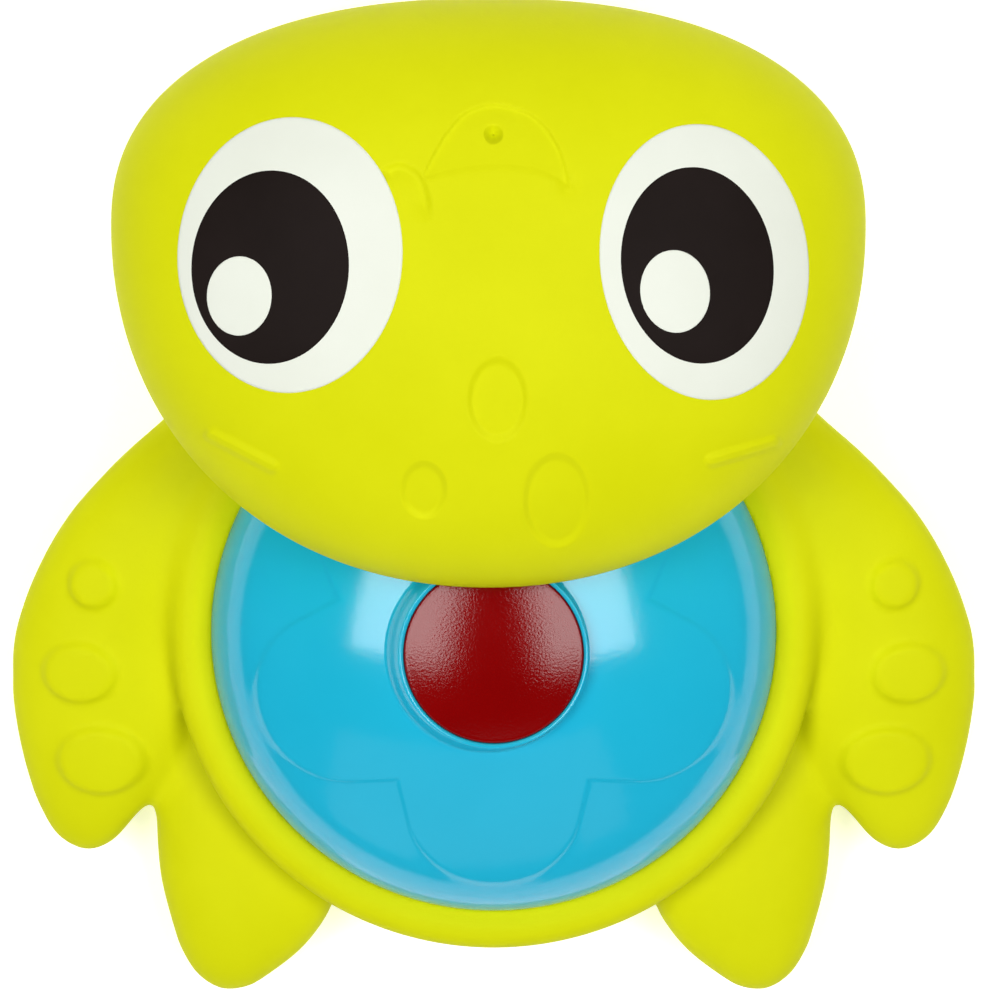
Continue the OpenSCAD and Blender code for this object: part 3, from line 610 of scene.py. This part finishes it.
def dome_mesh():
    """The hard shell: its inside, the button's bore, the collar, the petal field, the rim and the flange."""
    def lifted(r, rise):
        """The dome's skin at a radius, raised square to it."""
        tilt = np.arctan2(r, np.sqrt(np.maximum(CROWN_R ** 2 - r ** 2, 1)))
        return r + rise * np.sin(tilt), dome_height(r) + rise * np.cos(tilt)

    def on_collar(share):
        """A ring on the collar's cone."""
        def ring(angle):
            foot = collar_foot(angle)
            foot_z = dome_height(foot) + PETAL_RISE
            top_r, top_z = BORE_R + COLLAR_LAND, COLLAR_TOP
            r = top_r + (foot - top_r) * share
            ease = share - COLLAR_EASE * np.sin(2 * math.pi * share) / math.pi
            return r, top_z + (foot_z - top_z) * ease
        return ring

    def on_field(share):
        """A ring at a share of the way from the collar to just inside the petals' edge."""
        def ring(angle):
            foot = collar_foot(angle) + FIELD_START
            r = foot + (flower_reach(angle) - FIELD_MARGIN - foot) * share
            return lifted(r, PETAL_RISE)
        return ring

    def past_field(share):
        """A ring at a share of the way from the petals' edge to the rim."""
        def ring(angle):
            edge = flower_reach(angle)
            return lifted(edge + share * (DOME_R - edge), 0)
        return ring

    def step_ring(out, rise):
        """A ring on the step at the petals' edge."""
        def ring(angle):
            return lifted(flower_reach(angle) + out, rise)
        return ring

    rings = [(DOME_R - DOME_WALL, SEAT_Z)]
    rings += corner((DOME_R - SHOULDER_R, RIM_Z), SHOULDER_R - DOME_WALL, 0, SHOULDER_TURN, SHOULDER_RINGS)
    inner_crown = CROWN_R - DOME_WALL
    shoulder_end = rings[-1][0]
    for r in np.linspace(shoulder_end - CROWN_START, GUIDE_R, CROWN_RINGS):
        rings.append((r, DOME_TOP - CROWN_R + math.sqrt(inner_crown ** 2 - r ** 2)))
    rings += [(GUIDE_R, GUIDE_END), (BORE_R, GUIDE_END), (BORE_R, COLLAR_TOP - COLLAR_ROUND)]
    edge_mid = (BORE_R + COLLAR_ROUND, COLLAR_TOP - COLLAR_ROUND)
    rings += corner(edge_mid, COLLAR_ROUND, 180, 90, ROUND_EDGE_RINGS)[1:]
    rings += [on_collar(t) for t in np.linspace(0, 1, COLLAR_RINGS)]
    rings += [on_field(t) for t in np.linspace(0, 1, FIELD_RINGS)]
    rings += [step_ring(STEP_WIDEN * out, rise * PETAL_RISE) for out, rise in PETAL_STEP]
    turns = np.linspace(RIM_RINGS_START, 1, RIM_RINGS) * math.pi / 2
    rings += [past_field(t) for t in (1 - np.cos(turns)) ** RIM_RINGS_CROWDING]
    rings += [(DOME_R, FLANGE_TOP), (FLANGE_R, FLANGE_TOP), (FLANGE_R, SEAT_Z)]
    return lathe(rings, DOME_SIDES, True)


def button_mesh():
    """The crowned cap with a round edge and its catch flange."""
    rings = [(0, BUTTON_TOP)]
    base = BUTTON_TOP - BUTTON_CROWN
    reach = BUTTON_R - BUTTON_EDGE * BUTTON_CROWN_END_SHARE
    for r in np.linspace(BUTTON_FIRST_RING_R, reach, BUTTON_RINGS):
        rings.append((r, base + math.sqrt(BUTTON_CROWN ** 2 - r ** 2)))
    z = rings[-1][1]
    edge_mid = (BUTTON_R - BUTTON_EDGE, z - BUTTON_EDGE)
    rings += corner(edge_mid, BUTTON_EDGE, BUTTON_EDGE_TURN, 0, ROUND_EDGE_RINGS)
    rings += [(BUTTON_R, CATCH_TOP), (CATCH_R, CATCH_TOP), (CATCH_R, CATCH_LOW), (0, CATCH_LOW)]
    return lathe(rings, BUTTON_SIDES, False)


def bellows_mesh():
    """A folded sleeve with a closed top and an open foot."""
    low, high = DECK_TOP + BELLOWS_END, CATCH_LOW - BELLOWS_END
    outer = []
    for t in np.linspace(0, 1, BELLOWS_RINGS):
        wave = 0.5 - 0.5 * math.cos(2 * math.pi * BELLOWS_FOLDS * t)
        outer.append((BELLOWS_IN_R + BELLOWS_FOLD * wave ** BELLOWS_FULLNESS, low + (high - low) * t))
    inner = [(r - BELLOWS_WALL, z) for r, z in outer[::-1]]
    foot = [(BELLOWS_FOOT_R, low), (BELLOWS_FOOT_R, DECK_TOP), (BELLOWS_IN_R, DECK_TOP)]
    top = [(BELLOWS_IN_R, CATCH_LOW), (0, CATCH_LOW)]
    return lathe([(0, CATCH_LOW - BELLOWS_END)] + inner + foot + outer + top, BELLOWS_SIDES, False)


def eye_patch(centre, half, lean, lift):
    """A printed oval that lies on the head's skin."""
    n = PRINT_SIDES
    turn = np.radians(lean)
    angle = 2 * math.pi * np.arange(n) / n
    shares = [k / PRINT_RINGS for k in range(1, PRINT_RINGS)] + [PRINT_EDGE_RING_SHARE, 1.0]
    a, b = [centre[0]], [centre[1]]
    for s in shares:
        u, v = half[0] * s * np.cos(angle), half[1] * s * np.sin(angle)
        a += list(centre[0] + u * math.cos(turn) - v * math.sin(turn))
        b += list(centre[1] + u * math.sin(turn) + v * math.cos(turn))
    a, b = np.array(a), np.array(b)
    height, _ = crossing(lambda w: head_skin(a, b, w) < 0,
                         np.zeros(len(a)), np.full(len(a), PRINT_TO), PRINT_HALVINGS)
    skin = from_head(a, b, height)
    g = slope_of(lambda p: head_skin(*to_head(p)), skin)
    g /= np.linalg.norm(g, axis=1)[:, None]
    up = np.full(len(a), lift)
    up[-n:] = lift * PRINT_EDGE_SHARE
    top = skin + g * up[:, None]
    under = skin - g * PRINT_ROOT
    points = np.concatenate([top, under])
    half_n = len(top)
    faces = []
    for base, flip in ((0, False), (half_n, True)):
        for k in range(n):
            m = (k + 1) % n
            tri = [base, base + 1 + k, base + 1 + m]
            faces.append(tri[::-1] if flip else tri)
            for i in range(len(shares) - 1):
                p, q = base + 1 + i * n, base + 1 + (i + 1) * n
                quad = [p + k, q + k, q + m, p + m]
                faces.append(quad[::-1] if flip else quad)
    edge = 1 + (len(shares) - 1) * n
    for k in range(n):
        m = (k + 1) % n
        faces.append([edge + k, half_n + edge + k, half_n + edge + m, edge + m])
    return points, faces


# Materials
def surface(name, dark, light, blotch, rough, rough_swing, bump_scale, bump, **extra):
    """Two close colours in soft blotches, a roughness that varies with them, and a fine moulded grain."""
    mat = bpy.data.materials.new(name)
    mat.use_nodes = True
    nodes, links = mat.node_tree.nodes, mat.node_tree.links
    shader = nodes["Principled BSDF"]
    where = nodes.new("ShaderNodeTexCoord")
    noise = nodes.new("ShaderNodeTexNoise")
    noise.inputs["Scale"].default_value = blotch
    noise.inputs["Detail"].default_value = BLOTCH_DETAIL
    links.new(where.outputs["Object"], noise.inputs["Vector"])
    ramp = nodes.new("ShaderNodeValToRGB")
    first, last = ramp.color_ramp.elements
    first.position, last.position = BLOTCH_LOW, BLOTCH_HIGH
    first.color, last.color = (*dark, 1), (*light, 1)
    links.new(noise.outputs["Fac"], ramp.inputs["Fac"])
    links.new(ramp.outputs["Color"], shader.inputs["Base Color"])
    spread = nodes.new("ShaderNodeMapRange")
    spread.inputs["To Min"].default_value = rough - rough_swing
    spread.inputs["To Max"].default_value = rough + rough_swing
    links.new(noise.outputs["Fac"], spread.inputs["Value"])
    links.new(spread.outputs["Result"], shader.inputs["Roughness"])
    grain = nodes.new("ShaderNodeTexNoise")
    grain.inputs["Scale"].default_value = bump_scale
    grain.inputs["Detail"].default_value = GRAIN_DETAIL
    links.new(where.outputs["Object"], grain.inputs["Vector"])
    relief = nodes.new("ShaderNodeBump")
    relief.inputs["Strength"].default_value = bump
    relief.inputs["Distance"].default_value = GRAIN_HEIGHT
    links.new(grain.outputs["Fac"], relief.inputs["Height"])
    links.new(relief.outputs["Normal"], shader.inputs["Normal"])
    for key, value in extra.items():
        shader.inputs[key.replace("_", " ")].default_value = value
    return mat


lime = surface("lime_vinyl", (0.660, 0.685, 0.002), (0.695, 0.720, 0.004), 60, 0.55, 0.05, 2600, 0.10,
               Specular_IOR_Level=0.05, Subsurface_Weight=0.05, Subsurface_Radius=(0.8, 0.7, 0.15),
               Subsurface_Scale=0.002)
blue = surface("blue_shell", (0.011, 0.455, 0.675), (0.016, 0.480, 0.705), 45, 0.13, 0.02, 1100, 0.06,
               Specular_IOR_Level=0.45)
red = surface("red_button", (0.205, 0.0006, 0.0008), (0.245, 0.0010, 0.0012), 70, 0.12, 0.02, 3900, 0.11,
              Specular_IOR_Level=0.33)
white = surface("eye_white", (0.770, 0.800, 0.700), (0.800, 0.830, 0.735), 90, 0.50, 0.05, 2200, 0.05,
                Specular_IOR_Level=0.2)
black = surface("eye_black", (0.012, 0.008, 0.007), (0.016, 0.011, 0.010), 90, 0.52, 0.05, 2200, 0.05,
                Specular_IOR_Level=0.03)
bellows_rubber = surface("bellows_rubber", (0.62, 0.62, 0.58), (0.70, 0.70, 0.66), 120, 0.6, 0.06, 1800,
                         0.1)
deck_plastic = surface("deck_plastic", (0.55, 0.56, 0.57), (0.62, 0.63, 0.64), 80, 0.42, 0.05, 1500, 0.05)
tube_plastic = surface("tube_plastic", (0.66, 0.62, 0.50), (0.72, 0.68, 0.56), 150, 0.38, 0.05, 1500, 0.05)
holder_plastic = surface("reed_holder", (0.50, 0.44, 0.22), (0.56, 0.50, 0.27), 150, 0.40, 0.05, 1500, 0.05)
brass = surface("reed_brass", (0.62, 0.44, 0.16), (0.70, 0.52, 0.22), 400, 0.30, 0.06, 5000, 0.04,
                Metallic=1.0)
steel = surface("screw_steel", (0.50, 0.50, 0.50), (0.58, 0.58, 0.58), 400, 0.34, 0.06, 4000, 0.05,
                Metallic=1.0)

# Pieces
points, faces = surface_net(body_distance, BODY_LOW, BODY_HIGH, BODY_STEP)
make("vinyl_body", points, faces, "turtle", ["body"], lime)

points, faces = head_mesh()
make("vinyl_head", points, faces, "turtle", ["head"], lime)

points, faces = dome_mesh()
make("blue_dome", points, faces, "turtle", ["shell_dome"], blue)

points, faces = button_mesh()
make("red_press_button", points, faces, "button", ["squeak_button"], red)

points, faces = bellows_mesh()
bellows = make("soft_bellows", points, faces, "turtle", ["squeaker_bellows"],
               bellows_rubber)
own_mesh(bellows)

# Each eye: side, then the white's place, half sizes and lean, then place and half sizes of pupil and glint
EYES = [
    ("left", LEFT_EYE_AT, LEFT_EYE_HALF, -2.5, (25.75, 5.2), (9.2, 11.2), (29.3, 8.5), (3.8, 4.6)),
    ("right", (-24.36, 4.6), (12.1, 15.95), 7.0, (-23.5, 5.0), (8.87, 11.4), (-20.9, 8.0), (4.05, 4.8)),
]
for side, white_at, white_half, lean, pupil_at, pupil_half, glint_at, glint_half in EYES:
    for kind, at, half, lift, slot_name, material in (
            ("white", white_at, white_half, WHITE_LIFT, "eye_white", white),
            ("pupil", pupil_at, pupil_half, PUPIL_LIFT, "eye_black", black),
            ("glint", glint_at, glint_half, GLINT_LIFT, "eye_white", white)):
        points, faces = eye_patch(at, half, lean, lift)
        make(f"{side}_{kind}_print", points, faces, "turtle", [f"{side}_eye_{kind}"], material)

for node, material in (("squeaker_deck", deck_plastic), ("squeaker_tube", tube_plastic),
                       ("reed_block", holder_plastic), ("reed_wedge", holder_plastic),
                       ("squeaker_reed", brass), ("deck_screws", steel)):
    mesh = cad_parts[node].data
    mesh.materials.clear()
    mesh.materials.append(material)

# Floor, light and camera
FLOOR = 6.0
floor_mesh = bpy.data.meshes.new("floor")
floor_mesh.from_pydata([(-FLOOR, -FLOOR, 0), (FLOOR, -FLOOR, 0), (FLOOR, FLOOR, 0), (-FLOOR, FLOOR, 0)], [],
                       [(0, 1, 2, 3)])
floor = bpy.data.objects.new("floor", floor_mesh)
bpy.context.scene.collection.objects.link(floor)
light_table = surface("light_table", (0.93, 0.93, 0.93), (0.95, 0.95, 0.95), 6, 0.9, 0.05, 600, 0.02,
                      Emission_Color=(1, 1, 1, 1), Emission_Strength=0.45)
floor_mesh.materials.append(light_table)

# A dim studio, a little lighter towards the horizon
world = bpy.data.worlds.new("studio")
bpy.context.scene.world = world
world.use_nodes = True
sky = world.node_tree.nodes
toward = sky.new("ShaderNodeTexCoord")
split = sky.new("ShaderNodeSeparateXYZ")
glow = sky.new("ShaderNodeMapRange")
glow.interpolation_type = "SMOOTHSTEP"
for key, value in (("From Min", 0.35), ("From Max", 0.88), ("To Min", 1.12), ("To Max", 0.10)):
    glow.inputs[key].default_value = value
world.node_tree.links.new(toward.outputs["Generated"], split.inputs["Vector"])
world.node_tree.links.new(split.outputs["Z"], glow.inputs["Value"])
world.node_tree.links.new(glow.outputs["Result"], sky["Background"].inputs["Strength"])


def softbox(name, place, size, power, roll=0):
    """An area light that faces the toy, rolled about its own axis by some degrees."""
    light = bpy.data.lights.new(name, "AREA")
    light.shape = "RECTANGLE"
    light.size, light.size_y = size
    light.energy = power
    obj = bpy.data.objects.new(name, light)
    bpy.context.scene.collection.objects.link(obj)
    back = np.array(place) / np.linalg.norm(place)
    right = np.cross((0, 1, 0), back)
    right /= np.linalg.norm(right)
    up = np.cross(back, right)
    m = np.eye(4)
    m[:3, 0], m[:3, 1], m[:3, 2], m[:3, 3] = right, up, back, place
    obj.matrix_world = Matrix(m.tolist()) @ Matrix.Rotation(math.radians(roll), 4, "Z")


BOX_SIZE, BOX_POWER, BOX_ROLL = (0.48, 0.54), 6.3, 12
softbox("softbox_left", (0.43, -0.07, 1.0), BOX_SIZE, BOX_POWER, -BOX_ROLL)
softbox("softbox_right", (-0.43, -0.07, 1.0), BOX_SIZE, BOX_POWER, BOX_ROLL)
softbox("front_fill", (0.0, -1.15, 0.75), (1.4, 0.5), 2.6)
softbox("tail_fill", (0.1, 0.95, 0.75), (1.6, 0.8), 2.0)

# The photograph's camera: nearly straight above, the snout at the top of the picture
LEAN = math.radians(7.688)
CAMERA_AT = (-0.000756, -0.162607, 1.105527)
SENSOR, LENS = 36.0, 330.0
camera_data = bpy.data.cameras.new("photo_camera")
camera_data.sensor_fit, camera_data.sensor_width, camera_data.lens = "HORIZONTAL", SENSOR, LENS
camera_data.clip_start, camera_data.clip_end = 0.05, 20
camera = bpy.data.objects.new("photo_camera", camera_data)
bpy.context.scene.collection.objects.link(camera)
camera.matrix_world = Matrix((
    (-1, 0, 0, CAMERA_AT[0]),
    (0, -math.cos(LEAN), -math.sin(LEAN), CAMERA_AT[1]),
    (0, -math.sin(LEAN), math.cos(LEAN), CAMERA_AT[2]),
    (0, 0, 0, 1)))
bpy.context.scene.camera = camera
bpy.context.scene.view_settings.view_transform = "Standard"

bpy.context.view_layer.update()
